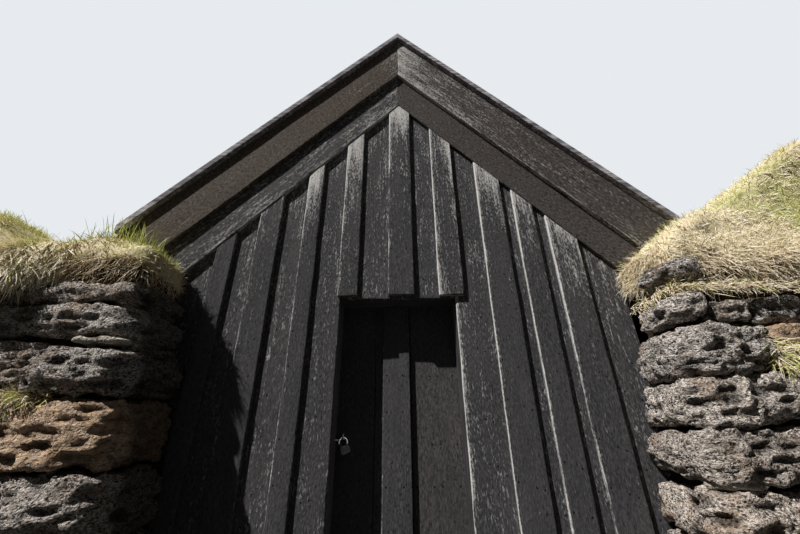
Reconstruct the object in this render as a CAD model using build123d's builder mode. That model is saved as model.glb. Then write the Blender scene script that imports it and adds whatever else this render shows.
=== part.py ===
from build123d import *
import os
from math import cos, radians, sin, tan

# Turf house: a tarred board gable between two dry-stone wall ends, under a turf roof.
# Millimetres. X to the right of the gable, Y into the house, Z up.
# The origin is on the ground, on the gable's centre line, in the front plane of its under-boards.

# Roof
roof_pitch = 47.6
roof_spring = 544           # top of the roof boards, over the wall's top at the room's wall face
roof_board_thickness = 25
roof_turf_thickness = 328
roof_past_wall_face = 370   # how far the roof boards run out over the walls
roof_setback = 200          # end of the roof, in from the back wall's outer face

# Room and walls
room_half_width = 1490
room_back = 4500
wall_height = 1825
wall_thickness = 1290
back_wall_thickness = 1100
wall_end_reach = 480        # how far a wall end stands out in front of the gable, at its foot
wall_end_lean = 60          # how much less it stands out at its top
wall_end_corner = 100
wall_end_inset = {"left": 285, "right": 235}    # foot of the wall end, inside the room's wall face
wall_end_batter = {"left": 235, "right": 205}   # how much its inner face leans back to the top

# Joints between the stones
end_joints = {
    "left": [200, 405, 618, 900, 1210, 1502, 1672],
    "right": [200, 400, 602, 825, 1050, 1270, 1530, 1705],
}
wall_courses = 9            # even courses of the outer and back faces
stone_length = 560
joint_gap = 26
joint_depth = 60

# Turf on the walls
turf_front_setback = 30
turf_front_lip = 45
party_front = {"left": 150, "right": 250}       # where its front slope gets to the party height
valley_offset = {"left": 150, "right": 90}      # valley's width, out from the foot of the roof turf
valley_crown = 10           # fall of the valley's floor towards the roof
valley_rise = {"left": 225, "right": 530}       # over the top of the wall
party_turf_rise = {"left": 575, "right": 1095}
mound_points = {"left": [(290, 345), (160, 340), (30, 250)], "right": []}   # in from the barge's end, upwards
shoulder_rise = 225         # top of the turf at the inner edge of a wall end

# Gable boards
under_board_thickness = 25
over_board_thickness = 28
board_gap = 4
board_foot = 20
door_left = -400
door_right = 367
door_head = 1858
under_board_joints = [-1224, -944, -643, -350, 6, 337, 681, 918, 1160]
over_board_edges = {
    "left": [(-1283, -1165), (-1020, -868), (-698, -588)],
    "over_door": [(-414, -285), (-79, 92), (257, 418)],
    "right": [(592, 770), (849, 987), (1066, 1254)],
}

# Bargeboards and verge caps
inner_barge_thickness = 34
outer_barge_thickness = 40
inner_barge_show = 237
barge_lap = 50
barge_past_wall_face = 500
barge_foot_gap = 15
cap_thickness = 40
cap_overhang = 40
cap_width = 224
cap_setback = 10            # lower end of a verge cap, in from the bargeboard's

# Timber frame
frame_depth = 175           # doorway timbers, front to back
sill_height = 90
door_post_width = 90
lintel_height = 140
plate_width = 180
plate_height = 160
plate_setback = 10
rafter_depth = 150
rafter_width = 100
rafter_count = 5
collar_drop = 1151          # underside of the collar beams, below the ridge of the roof boards
collar_height = 120
collar_width = 50
tie_beam_width = 120
tie_beam_height = 140
tie_beam_count = 2

# Door
door_lap = 25
door_play = 5
plank_thickness = 30
plank_joints = [-170, 60]
cover_plank = (-117, 57)
ledge_height = 120
ledge_heights = [260, 900, 1540]
ledge_end_gap = 40
strap_length = 520
strap_height = 44
strap_thickness = 6
pin_radius = 7
pin_play = 0.3
eye_wall = 6
pin_arm = 14                # height of the arm that carries a pin
pin_proud = 14              # how far a pin stands out above its strap
pin_offset = 18             # hinge pin, out from the edge of the leaf
lock_height = 1000
lock_place = -355
staple_wire = 4
door_staple_reach = 36
jamb_staple_reach = 26
staple_width = 30
shackle_radius = 25
shackle_wire = 4
shackle_drop = 20           # centre of the shackle's bend, over the lock's case
lock_corner = 11
lock_body = (56, 24, 46)
lock_tilt = 22
wire_sides = 8
bend_step = 30              # degrees of turn in each straight bit of a bent wire
lock_gap = 2                # between the lock's case and the planks
jamb_staple_place = 150
jamb_staple_height = 1012

slope = tan(radians(roof_pitch))
fall = cos(radians(roof_pitch))
party_face = room_half_width + wall_thickness
house_back = room_back + back_wall_thickness
roof_back = house_back - roof_setback
roof_apex = wall_height + roof_spring + room_half_width * slope
roof_reach = room_half_width + roof_past_wall_face
barge_reach = room_half_width + barge_past_wall_face
cap_reach = barge_reach - cap_setback
boards_underside = roof_apex - roof_board_thickness / fall
cap_seat = roof_apex + roof_turf_thickness / fall
inner_barge_edge = roof_apex - inner_barge_show / fall
rafter_underside = boards_underside - rafter_depth / fall
frame_front = under_board_thickness
frame_back = frame_front + frame_depth
plate_inner = room_half_width + plate_setback
plate_outer = plate_inner + plate_width
plate_top = wall_height + plate_height
barge_foot = wall_height + barge_foot_gap
collar_underside = roof_apex - collar_drop
shoulder_height = wall_height + shoulder_rise
side_of = {"left": -1, "right": 1}

os.makedirs("parts", exist_ok=True)


def drop(apex, x):
    # height at x of a roof line whose ridge is at the given height
    return apex - abs(x) * slope


def place_at(apex, height):
    # distance from the centre line where that roof line comes down to a height
    return (apex - height) / slope


def upright(outline, front, back, mode=Mode.ADD):
    # prism of an outline in the gable's plane, from one depth to another
    with BuildSketch(Plane.XZ.offset(-back)) as face:
        with BuildLine():
            Polyline(*outline, close=True)
        make_face()
    extrude(face.sketch, amount=back - front, mode=mode)


def block(left, right, front, back, low, high, mode=Mode.ADD):
    # beam or board square to the house
    upright([(left, low), (right, low), (right, high), (left, high)], front, back, mode)


def keep(piece, name):
    piece.part.label = name
    export_step(piece.part, f"parts/{name}.step")


def mirrored(outline, side):
    return [(side * x, z) for x, z in outline]


# Stone walls
def wall_end_outline(name, height_share, within=0):
    side = side_of[name]
    inner = room_half_width - wall_end_inset[name] + wall_end_batter[name] * height_share + within
    reach = wall_end_reach - wall_end_lean * height_share - within
    outer = party_face - within
    with BuildSketch(Plane.XY.offset(wall_height * height_share)) as outline:
        with BuildLine():
            Polyline((side * inner, 0), (side * inner, -reach), (side * outer, -reach),
                     (side * outer, 0), close=True)
        make_face()
        corner = outline.vertices().sort_by(Axis.Y)[:2].sort_by(lambda v: abs(v.X))[0]
        fillet(corner, wall_end_corner - within)
    return outline.sketch


def bed_joints(heights, left, right, front, back):
    # level slots between the courses
    with Locations(*[((left + right) / 2, (front + back) / 2, height) for height in heights]):
        Box(right - left, back - front, joint_gap)


def head_joints(length):
    # places and heights of the upright joints: each course starts a third of a stone further on
    joints = []
    for course in range(wall_courses):
        place = stone_length * (1 + course % 3) / 3
        while place < length:
            joints.append((place, (course + 0.5) * course_height))
            place += stone_length
    return joints


course_height = wall_height / wall_courses
wall_joints = [course_height * i for i in range(1, wall_courses)]

for name, side in side_of.items():
    with BuildPart() as joints:
        bed_joints(end_joints[name], *sorted((side * door_right, side * party_face)), -wall_end_reach, 0)
        loft([wall_end_outline(name, 0, joint_depth), wall_end_outline(name, 1, joint_depth)],
             ruled=True, mode=Mode.SUBTRACT)
    with BuildPart() as wall_end:
        loft([wall_end_outline(name, 0), wall_end_outline(name, 1)], ruled=True)
        add(joints.part, mode=Mode.SUBTRACT)
    keep(wall_end, f"{name}_wall_end")

    joint_middle = party_face - joint_depth / 2
    with BuildPart() as joints:
        bed_joints(wall_joints, *sorted((side * room_half_width, side * party_face)), 0, house_back)
        block(*sorted((side * room_half_width, side * (party_face - joint_depth))),
              0, house_back - joint_depth, 0, wall_height, Mode.SUBTRACT)
        with Locations(*[(side * joint_middle, y, z) for y, z in head_joints(house_back - joint_depth)]):
            Box(joint_depth, joint_gap, course_height)
    with BuildPart() as side_wall:
        block(*sorted((side * room_half_width, side * party_face)), 0, house_back, 0, wall_height)
        add(joints.part, mode=Mode.SUBTRACT)
    keep(side_wall, f"{name}_side_wall")

joint_middle = house_back - joint_depth / 2
with BuildPart() as joints:
    bed_joints(wall_joints, -room_half_width, room_half_width, house_back - joint_depth, house_back)
    with Locations(*[(x - room_half_width, joint_middle, z)
                     for x, z in head_joints(2 * room_half_width - joint_gap)]):
        Box(joint_gap, joint_depth, course_height)
with BuildPart() as back_wall:
    block(-room_half_width, room_half_width, room_back, house_back, 0, wall_height)
    add(joints.part, mode=Mode.SUBTRACT)
keep(back_wall, "back_wall")

# Gable frame
with BuildPart() as front_sill:
    block(-room_half_width, room_half_width, frame_front, frame_back, 0, sill_height)
    block(door_left, door_right, -over_board_thickness, frame_front, 0, sill_height)
keep(front_sill, "front_sill")

for name, edge, out in (("left", door_left, -1), ("right", door_right, 1)):
    with BuildPart() as door_post:
        block(*sorted((edge, edge + out * door_post_width)), frame_front, frame_back,
              sill_height, door_head)
    keep(door_post, f"{name}_door_post")

with BuildPart() as lintel_beam:
    block(-room_half_width, room_half_width, frame_front, frame_back,
          door_head, door_head + lintel_height)
keep(lintel_beam, "lintel_beam")


# Gable boards
def board_outline(left, right, top_line, low):
    # a board's outline up to a roof line, with a point in its top where it crosses the ridge
    outline = [(left, low), (right, low), (right, drop(top_line, right))]
    if left < 0 < right:
        outline.append((0, top_line))
    outline.append((left, drop(top_line, left)))
    return outline


board_lines = [-room_half_width, *under_board_joints, room_half_width]
under_boards = [
    (left + (board_gap / 2 if left > -room_half_width else 0),
     right - (board_gap / 2 if right < room_half_width else 0))
    for left, right in zip(board_lines, board_lines[1:])
]
board_groups = {
    "left_under_boards": [b for b in under_boards if b[0] < door_left],
    "over_door_under_boards": [b for b in under_boards if b[0] > door_left and b[1] < door_right],
    "right_under_boards": [b for b in under_boards if b[1] > door_right],
}
for name, boards in board_groups.items():
    with BuildPart() as group:
        for left, right in boards:
            low = door_head if name.startswith("over") else board_foot
            upright(board_outline(left, right, boards_underside, low), 0, under_board_thickness)
        block(door_left, door_right, -over_board_thickness, frame_front, 0, door_head, Mode.SUBTRACT)
    keep(group, name)

for name, boards in over_board_edges.items():
    with BuildPart() as group:
        for left, right in boards:
            low = door_head if name == "over_door" else board_foot
            upright(board_outline(left, right, inner_barge_edge, low), -over_board_thickness, 0)
        for wall in side_of:
            loft([wall_end_outline(wall, 0), wall_end_outline(wall, 1)], ruled=True,
                 mode=Mode.SUBTRACT)
    keep(group, f"{name}_over_boards")


# Bargeboards and verge caps
def barge_outline(top_line, low_line, side):
    return mirrored([
        (0, low_line), (0, top_line), (barge_reach, drop(top_line, barge_reach)),
        (barge_reach, barge_foot), (place_at(low_line, barge_foot), barge_foot),
    ], side)


def cap_outline(side):
    return mirrored([(0, cap_seat), (0, cap_top), (cap_reach, drop(cap_top, cap_reach)),
                     (cap_reach, drop(cap_seat, cap_reach))], side)


inner_barge_top = roof_apex + barge_lap / fall
barge_front = -inner_barge_thickness - outer_barge_thickness
cap_front = barge_front - cap_overhang
cap_top = cap_seat + cap_thickness / fall
for name, side in side_of.items():
    with BuildPart() as inner_barge:
        upright(barge_outline(inner_barge_top, inner_barge_edge, side), -inner_barge_thickness, 0)
    keep(inner_barge, f"{name}_inner_bargeboard")

    with BuildPart() as outer_barge:
        upright(barge_outline(cap_seat, roof_apex, side), barge_front, -inner_barge_thickness)
    keep(outer_barge, f"{name}_outer_bargeboard")

    with BuildPart() as verge_cap:
        upright(cap_outline(side), cap_front, cap_front + cap_width)
    keep(verge_cap, f"{name}_verge_cap")

# Roof: boards, turf and timbers
for name, side in side_of.items():
    with BuildPart() as roof_boards:
        upright(mirrored([(0, boards_underside), (0, roof_apex), (roof_reach, drop(roof_apex, roof_reach)),
                          (roof_reach, drop(boards_underside, roof_reach))], side), 0, roof_back)
    keep(roof_boards, f"{name}_roof_boards")

    with BuildPart() as roof_turf:
        upright(mirrored([(0, roof_apex), (0, cap_seat), (roof_reach, drop(cap_seat, roof_reach)),
                          (roof_reach, drop(roof_apex, roof_reach))], side), 0, roof_back)
    keep(roof_turf, f"{name}_roof_turf")

    with BuildPart() as wall_plate:
        block(*sorted((side * plate_inner, side * plate_outer)), frame_front, room_back,
              wall_height, plate_top)
    keep(wall_plate, f"{name}_wall_plate")

    rafter_outline = mirrored([
        (0, rafter_underside), (0, boards_underside),
        (plate_outer, drop(boards_underside, plate_outer)), (plate_outer, plate_top),
        (place_at(rafter_underside, plate_top), plate_top),
    ], side)
    rafter_spacing = (room_back - rafter_width - frame_front) / (rafter_count - 1)
    with BuildPart() as rafters:
        for i in range(rafter_count):
            front = frame_front + i * rafter_spacing
            upright(rafter_outline, front, front + rafter_width)
    keep(rafters, f"{name}_rafters")

with BuildPart() as collar_beams:
    collar_top = collar_underside + collar_height
    for i in range(rafter_count):
        # the last collar is nailed to the front of its rafters, the others to the back
        front = frame_front + i * rafter_spacing + rafter_width
        if i == rafter_count - 1:
            front -= rafter_width + collar_width
        low, high = place_at(boards_underside, collar_underside), place_at(boards_underside, collar_top)
        upright([(-low, collar_underside), (low, collar_underside), (high, collar_top), (-high, collar_top)],
                front, front + collar_width)
keep(collar_beams, "collar_beams")

with BuildPart() as tie_beams:
    for i in range(tie_beam_count):
        # beside the second rafters from each end
        front = frame_front + rafter_spacing * (1 + i * (rafter_count - 3) / (tie_beam_count - 1))
        front += rafter_width
        block(-plate_outer, plate_outer, front, front + tie_beam_width,
              plate_top, plate_top + tie_beam_height)
        for side in side_of.values():
            roof_above = [(side * plate_inner, drop(boards_underside, plate_inner)),
                          (side * party_face, drop(boards_underside, plate_inner)),
                          (side * party_face, drop(boards_underside, party_face))]
            upright(roof_above, front, front + tie_beam_width, Mode.SUBTRACT)
keep(tie_beams, "tie_beams")


# Turf on the walls
def turf_crown(name):
    # top of the turf from the foot of the roof turf out to the party face
    valley_height = wall_height + valley_rise[name]
    valley = place_at(cap_seat, valley_height)
    return [(valley, valley_height), (valley + valley_offset[name], valley_height + valley_crown),
            (party_face, wall_height + party_turf_rise[name])]


for name, side in side_of.items():
    crown = turf_crown(name)
    with BuildPart() as wall_turf:
        upright(mirrored([
            (plate_outer, wall_height), (plate_outer, drop(boards_underside, plate_outer)),
            (roof_reach, drop(boards_underside, roof_reach)), (roof_reach, drop(cap_seat, roof_reach)),
            *crown, (party_face, wall_height),
        ], side), 0, house_back)
        upright(cap_outline(side), cap_front, cap_front + cap_width, Mode.SUBTRACT)
    keep(wall_turf, f"{name}_wall_turf")

    with BuildPart() as front_turf:
        inner = room_half_width - wall_end_inset[name] + wall_end_batter[name]
        reach = wall_end_reach - wall_end_lean
        slope_foot = reach - turf_front_setback
        slope_rise = (party_turf_rise[name] - shoulder_rise) * slope_foot / (slope_foot - party_front[name])
        mound = [(barge_reach - inset, wall_height + rise) for inset, rise in mound_points[name]]
        upright(mirrored([(inner, wall_height), (inner, shoulder_height), *mound, *crown,
                          (party_face, wall_height)], side), -reach - turf_front_lip, 0)
        with BuildSketch(Plane.YZ.offset(-party_face)) as side_view:
            with BuildLine():
                Polyline((0, wall_height), (-slope_foot, wall_height),
                         (-reach - turf_front_lip, wall_height + turf_front_lip),
                         (-slope_foot, shoulder_height), (0, shoulder_height + slope_rise), close=True)
            make_face()
        extrude(side_view.sketch, amount=2 * party_face, mode=Mode.INTERSECT)
        upright(barge_outline(inner_barge_top, inner_barge_edge, side), -inner_barge_thickness, 0,
                Mode.SUBTRACT)
        upright(barge_outline(cap_seat, roof_apex, side), barge_front, -inner_barge_thickness,
                Mode.SUBTRACT)
        upright(cap_outline(side), cap_front, cap_front + cap_width, Mode.SUBTRACT)
    keep(front_turf, f"{name}_front_turf")

with BuildPart() as back_gable_turf:
    upright([
        (-plate_outer, wall_height), (plate_outer, wall_height),
        (plate_outer, drop(boards_underside, plate_outer)), (0, boards_underside),
        (-plate_outer, drop(boards_underside, plate_outer)),
    ], room_back, roof_back)
keep(back_gable_turf, "back_gable_turf")

# Door leaf
leaf_left = door_left - door_lap
leaf_right = door_right + door_lap
leaf_front = frame_back + door_play
leaf_back = leaf_front + plank_thickness
leaf_low = sill_height - door_lap
leaf_high = door_head + door_lap
with BuildPart() as door_planks:
    for left, right in zip([leaf_left, *plank_joints], [*plank_joints, leaf_right]):
        block(left + board_gap / 4, right - board_gap / 4, leaf_front, leaf_back, leaf_low, leaf_high)
keep(door_planks, "door_planks")

with BuildPart() as door_cover_plank:
    block(*cover_plank, leaf_front - plank_thickness, leaf_front,
          sill_height + door_play, door_head - door_play)
keep(door_cover_plank, "door_cover_plank")

ledge_back = leaf_back + plank_thickness
with BuildPart() as door_ledges:
    for low in ledge_heights:
        block(leaf_left + ledge_end_gap, leaf_right - ledge_end_gap, leaf_back, ledge_back,
              low, low + ledge_height)
keep(door_ledges, "door_ledges")

# Strap hinges: the eye turns on a pintle driven into the door post
pin_x = leaf_right + pin_offset
eye_radius = pin_radius + pin_play + eye_wall
pin_y = ledge_back + strap_thickness - eye_radius
hinge_heights = [low + (ledge_height - strap_height) / 2 for low in (ledge_heights[0], ledge_heights[-1])]
with BuildPart() as door_straps:
    for low in hinge_heights:
        block(pin_x - strap_length, pin_x, ledge_back, ledge_back + strap_thickness,
              low, low + strap_height)
        with BuildSketch(Plane.XY.offset(low)) as eye:
            with Locations((pin_x, pin_y)):
                Circle(eye_radius)
        extrude(eye.sketch, amount=strap_height)
        with BuildSketch(Plane.XY.offset(low)) as bore:
            with Locations((pin_x, pin_y)):
                Circle(pin_radius + pin_play)
        extrude(bore.sketch, amount=strap_height, mode=Mode.SUBTRACT)
keep(door_straps, "door_straps")

with BuildPart() as hinge_pintles:
    for low in hinge_heights:
        arm_high = low - pin_play
        with BuildSketch(Plane.XY.offset(arm_high - pin_arm)) as pin:
            with Locations((pin_x, pin_y)):
                Circle(pin_radius)
        extrude(pin.sketch, amount=pin_arm + strap_height + pin_proud)
        block(pin_x - pin_radius, pin_x + pin_radius, frame_back, pin_y, arm_high - pin_arm, arm_high)
keep(hinge_pintles, "hinge_pintles")


# Padlock on its staple, and the staple on the jamb
def arc_points(centre_height, radius, first, last):
    # points on a round bend, in the plane of the wire
    count = round(abs(last - first) / bend_step)
    angles = [radians(first + (last - first) * i / count) for i in range(count + 1)]
    return [(radius * cos(angle), centre_height + radius * sin(angle)) for angle in angles]


def bent_wire(plane, points, radius):
    with BuildLine(plane) as bend:
        Polyline(*points)
    with BuildSketch(Plane(bend.line @ 0, z_dir=bend.line % 0)) as section:
        RegularPolygon(radius, wire_sides)
    sweep(section.sketch, path=bend.line, transition=Transition.RIGHT)


def staple(plane, width, reach, wire):
    # two legs and a round end
    bend = arc_points(reach - width / 2, width / 2, 180, 0)
    bent_wire(plane, [(-width / 2, 0), *bend, (width / 2, 0)], wire)


# the shackle hangs over the staple's lower leg
shackle_inside = shackle_radius * cos(radians(bend_step / 2)) - shackle_wire
staple_height = lock_height + shackle_inside - pin_play - staple_wire + staple_width / 2
with BuildPart() as door_staple:
    staple(Plane((lock_place, leaf_front, staple_height), x_dir=(0, 0, 1), z_dir=(1, 0, 0)),
           staple_width, door_staple_reach, staple_wire)
keep(door_staple, "door_staple")

with BuildPart() as jamb_staple:
    staple(Plane((door_left, jamb_staple_place, jamb_staple_height), x_dir=(0, 1, 0), z_dir=(0, 0, -1)),
           staple_width, jamb_staple_reach, staple_wire)
keep(jamb_staple, "jamb_staple")

lock_width, lock_depth, lock_drop = lock_body
lock_plane = Plane(
    (lock_place, leaf_front - lock_gap - lock_depth / 2, lock_height),
    x_dir=(cos(radians(lock_tilt)), 0, sin(radians(lock_tilt))), z_dir=(0, -1, 0),
)
with BuildPart() as padlock:
    bent_wire(lock_plane, arc_points(0, shackle_radius, -60, 240), shackle_wire)
    with BuildSketch(lock_plane.offset(-lock_depth / 2)) as case:
        with Locations((0, -shackle_drop - lock_drop / 2)):
            RectangleRounded(lock_width, lock_drop, lock_corner)
    extrude(case.sketch, amount=lock_depth)
keep(padlock, "padlock")
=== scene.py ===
import math

import bpy
import numpy as np
from mathutils import Matrix, Vector


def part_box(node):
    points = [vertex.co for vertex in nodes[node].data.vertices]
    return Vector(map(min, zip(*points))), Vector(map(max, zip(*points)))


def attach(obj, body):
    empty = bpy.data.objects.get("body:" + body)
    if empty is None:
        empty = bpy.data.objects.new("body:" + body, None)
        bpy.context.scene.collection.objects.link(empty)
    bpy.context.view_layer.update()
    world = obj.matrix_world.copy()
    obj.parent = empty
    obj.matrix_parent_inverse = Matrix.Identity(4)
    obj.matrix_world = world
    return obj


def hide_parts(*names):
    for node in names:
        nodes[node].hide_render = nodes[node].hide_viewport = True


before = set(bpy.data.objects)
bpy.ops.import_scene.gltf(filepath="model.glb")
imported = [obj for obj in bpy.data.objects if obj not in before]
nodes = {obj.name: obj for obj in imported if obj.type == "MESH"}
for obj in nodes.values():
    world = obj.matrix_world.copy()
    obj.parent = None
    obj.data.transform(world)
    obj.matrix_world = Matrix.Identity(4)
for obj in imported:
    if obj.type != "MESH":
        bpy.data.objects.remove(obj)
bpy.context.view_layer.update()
print("frame loaded:", len(nodes), "nodes")


# small helpers for shader nodes
def addNode(tree, kind, inputs=None, **settings):
    node = tree.nodes.new("ShaderNode" + kind)
    for key, value in settings.items():
        setattr(node, key, value)
    for key, value in (inputs or {}).items():
        if isinstance(value, bpy.types.NodeSocket):
            tree.links.new(value, node.inputs[key])
        else:
            node.inputs[key].default_value = value
    return node


def objectPlace(tree):
    return addNode(tree, "TexCoord").outputs["Object"]


def readAttribute(tree, name, output="Fac"):
    return addNode(tree, "Attribute", attribute_name=name).outputs[output]


def scaled(tree, vector, scale):
    return addNode(tree, "VectorMath", {0: vector, 1: scale}, operation="MULTIPLY").outputs[0]


def noiseOf(tree, vector, scale, detail=3.0, roughness=0.55, distortion=0.0):
    # scale is one number, or one for each axis
    if isinstance(scale, tuple):
        vector, scale = scaled(tree, vector, scale), 1.0
    return addNode(tree, "TexNoise", {
        "Vector": vector, "Scale": scale, "Detail": detail, "Roughness": roughness, "Distortion": distortion,
    }).outputs["Fac"]


def cellsOf(tree, vector, scale):
    return addNode(tree, "TexVoronoi", {"Vector": vector, "Scale": scale}).outputs["Distance"]


def calc(tree, operation, a, b=0.0, c=0.0, clamp=False):
    return addNode(tree, "Math", {0: a, 1: b, 2: c}, operation=operation, use_clamp=clamp).outputs[0]


def weigh(tree, *terms):
    # the sum of values, each times its weight
    total = calc(tree, "MULTIPLY", *terms[0])
    for value, weight in terms[1:]:
        total = calc(tree, "MULTIPLY_ADD", value, weight, total)
    return total


def remap(tree, value, low, high, toLow=0.0, toHigh=1.0):
    return addNode(tree, "MapRange", {
        "Value": value, "From Min": low, "From Max": high, "To Min": toLow, "To Max": toHigh,
    }).outputs[0]


def mixColour(tree, factor, first, second, kind="MIX"):
    inputs = {0: factor, 6: first, 7: second}
    return addNode(tree, "Mix", inputs, data_type="RGBA", blend_type=kind).outputs[2]


def coats(tree, colour, *layers):
    # colours laid over one another: each comes in as its value goes from low to high, up to the given share
    for value, low, high, share, over in layers:
        colour = mixColour(tree, remap(tree, value, low, high, 0.0, share), colour, over)
    return colour


def newMaterial(name):
    material = bpy.data.materials.new(name)
    material.use_nodes = True
    return material, material.node_tree


def finishMaterial(material, colour, roughness, gloss, height=None, depth=0.0, strength=1.0):
    tree = material.node_tree
    shader = tree.nodes["Principled BSDF"]
    tree.links.new(colour, shader.inputs["Base Color"])
    shader.inputs["Specular IOR Level"].default_value = gloss
    if isinstance(roughness, bpy.types.NodeSocket):
        tree.links.new(roughness, shader.inputs["Roughness"])
    else:
        shader.inputs["Roughness"].default_value = roughness
    if height is not None:
        bump = addNode(tree, "Bump", {"Height": height, "Strength": strength, "Distance": depth})
        tree.links.new(bump.outputs["Normal"], shader.inputs["Normal"])
    return material


# smooth repeatable noise for shapes, worked out for many points at once
def latticeValue(cells, seed):
    key = (cells[..., 0] * 73856093) ^ (cells[..., 1] * 19349663) ^ (cells[..., 2] * 83492791)
    key = (key + seed * 2654435761) & 0xFFFFFFFF
    key = ((key ^ (key >> 15)) * 2246822519) & 0xFFFFFFFF
    key = ((key ^ (key >> 13)) * 3266489917) & 0xFFFFFFFF
    return ((key ^ (key >> 16)) & 0xFFFFFF) / 0xFFFFFF


def smoothNoise(points, seed=0):
    points = np.asarray(points, float)
    base = np.floor(points).astype(np.int64)
    part = points - base
    part = part * part * (3 - 2 * part)
    total = np.zeros(points.shape[:-1])
    for corner in range(8):
        offset = np.array([corner & 1, corner >> 1 & 1, corner >> 2 & 1])
        weight = np.prod(np.where(offset, part, 1 - part), axis=-1)
        total += weight * latticeValue(base + offset, seed)
    return total * 2 - 1


def roughNoise(points, seed=0, octaves=4):
    total, size = 0.0, 1.0
    for octave in range(octaves):
        total = total + size * smoothNoise(np.asarray(points) * 2.0 ** octave, seed + octave * 17)
        size *= 0.5
    return total


def ramp(value, low, high):
    # 0 up to low, 1 from high on, even between; low may be the greater of the two
    return np.clip((value - low) / (high - low), 0, 1)


# meshes
def vectorsOf(items, key):
    values = np.empty(len(items) * 3)
    items.foreach_get(key, values)
    return values.reshape(-1, 3)


def gridFaces(grid):
    corners = [grid[:-1, :-1], grid[:-1, 1:], grid[1:, 1:], grid[1:, :-1]]
    return np.stack(corners, -1).reshape(-1, 4).tolist()


def makeObject(name, points, faces, material, layers=None):
    mesh = bpy.data.meshes.new(name)
    mesh.from_pydata(np.asarray(points).tolist(), [], faces)
    for key, values in (layers or {}).items():
        values = np.asarray(values, np.float32)
        isVector = values.ndim == 2
        layer = mesh.attributes.new(key, "FLOAT_VECTOR" if isVector else "FLOAT", "POINT")
        layer.data.foreach_set("vector" if isVector else "value", values.ravel())
    mesh.polygons.foreach_set("use_smooth", [True] * len(mesh.polygons))
    mesh.materials.append(material)
    piece = bpy.data.objects.new(name, mesh)
    bpy.context.scene.collection.objects.link(piece)
    return piece


class Heap:
    # gathers many small meshes, which become one piece

    def __init__(self):
        self.points, self.faces, self.layers, self.count = [], [], {}, 0

    def add(self, points, faces, **layers):
        self.points.append(points)
        self.faces += [[i + self.count for i in face] for face in faces]
        for key, values in layers.items():
            self.layers.setdefault(key, []).append(values)
        self.count += len(points)

    def piece(self, name, material, slotName):
        layers = {key: np.concatenate(values) for key, values in self.layers.items()}
        return makeObject(name, np.concatenate(self.points), self.faces, material, layers)


# the separate solids of a CAD node from left to right, each as an array of its corners
def solidsOf(nodeName):
    mesh = nodes[nodeName].data
    corners = vectorsOf(mesh.vertices, "co")
    keys = [tuple(np.round(c, 5)) for c in corners]
    leader = {key: key for key in keys}

    def find(key):
        while leader[key] != key:
            key = leader[key]
        return key

    for polygon in mesh.polygons:
        first = find(keys[polygon.vertices[0]])
        for index in polygon.vertices[1:]:
            leader[find(keys[index])] = first
    groups = {}
    for key in set(keys):
        groups.setdefault(find(key), []).append(key)
    return sorted((np.array(sorted(g)) for g in groups.values()), key=lambda g: g[:, 0].mean())


# camera, as the photograph was taken: close to the door, looking up
cameraSetup = {
    "place": (0.0, -2.2, 1.0),
    "focalPixels": 355.0,
    "frameWidth": 800,
    "sensorWidth": 36.0,
    "farthest": 400.0,
    "lookUp": 26.18,
    "roll": -0.635,
}


def addCamera():
    setup = cameraSetup
    data = bpy.data.cameras.new("photoCamera")
    data.sensor_width = setup["sensorWidth"]
    data.lens = setup["focalPixels"] / setup["frameWidth"] * data.sensor_width
    data.clip_end = setup["farthest"]
    camera = bpy.data.objects.new("photoCamera", data)
    bpy.context.scene.collection.objects.link(camera)
    camera.matrix_world = (
        Matrix.Translation(setup["place"])
        @ Matrix.Rotation(math.radians(90 + setup["lookUp"]), 4, "X")
        @ Matrix.Rotation(math.radians(setup["roll"]), 4, "Z")
    )
    bpy.context.scene.camera = camera


# light: a sun high on the left, a weak broad fill, and a pale even backdrop
lightSetup = {
    "sunTravel": (0.547, 0.397, -0.737),
    "sunStrength": 4.9,
    "sunAngle": 0.7,
    "sunColour": (1.0, 0.97, 0.93),
    "fillTravel": (-0.56, -0.60, -0.57),
    "fillStrength": 1.3,
    "fillAngle": 25.0,
    "fillColour": (0.95, 0.97, 1.0),
    "skyStrength": 0.023,
    "skyColour": (0.93, 0.96, 1.0, 1.0),
    "backdrop": (0.80, 0.83, 0.86, 1.0),
}


def seenDirectly(tree):
    rays = addNode(tree, "LightPath")
    seen = rays.outputs["Is Camera Ray"]
    for other in ("Is Glossy Ray", "Is Transmission Ray"):
        seen = calc(tree, "ADD", seen, rays.outputs[other], clamp=True)
    return seen


def addSun(name):
    sun = bpy.data.lights.new(name, "SUN")
    sun.energy = lightSetup[name + "Strength"]
    sun.angle = math.radians(lightSetup[name + "Angle"])
    sun.color = lightSetup[name + "Colour"]
    lamp = bpy.data.objects.new(name, sun)
    bpy.context.scene.collection.objects.link(lamp)
    lamp.rotation_euler = Vector(lightSetup[name + "Travel"]).to_track_quat("-Z", "Y").to_euler()


def addLights():
    addSun("sun")
    addSun("fill")
    world = bpy.data.worlds.new("paleSky")
    bpy.context.scene.world = world
    world.use_nodes = True
    tree = world.node_tree
    sky = tree.nodes["Background"]
    sky.inputs["Color"].default_value = lightSetup["skyColour"]
    sky.inputs["Strength"].default_value = lightSetup["skyStrength"]
    backdrop = addNode(tree, "Background", {"Color": lightSetup["backdrop"]})
    blend = addNode(tree, "MixShader", {0: seenDirectly(tree), 1: sky.outputs[0], 2: backdrop.outputs[0]})
    tree.links.new(blend.outputs[0], tree.nodes["World Output"].inputs["Surface"])


floorLook = {
    "size": 110.0,
    "middle": 2.6,
    "count": 40,
    "rimRise": 4.0,
    "below": 0.004,
    "colour": (0.50, 0.50, 0.49, 1.0),
    "pale": (0.56, 0.56, 0.55, 1.0),
    "bounce": (0.03, 0.03, 0.028, 1.0),
}


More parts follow.
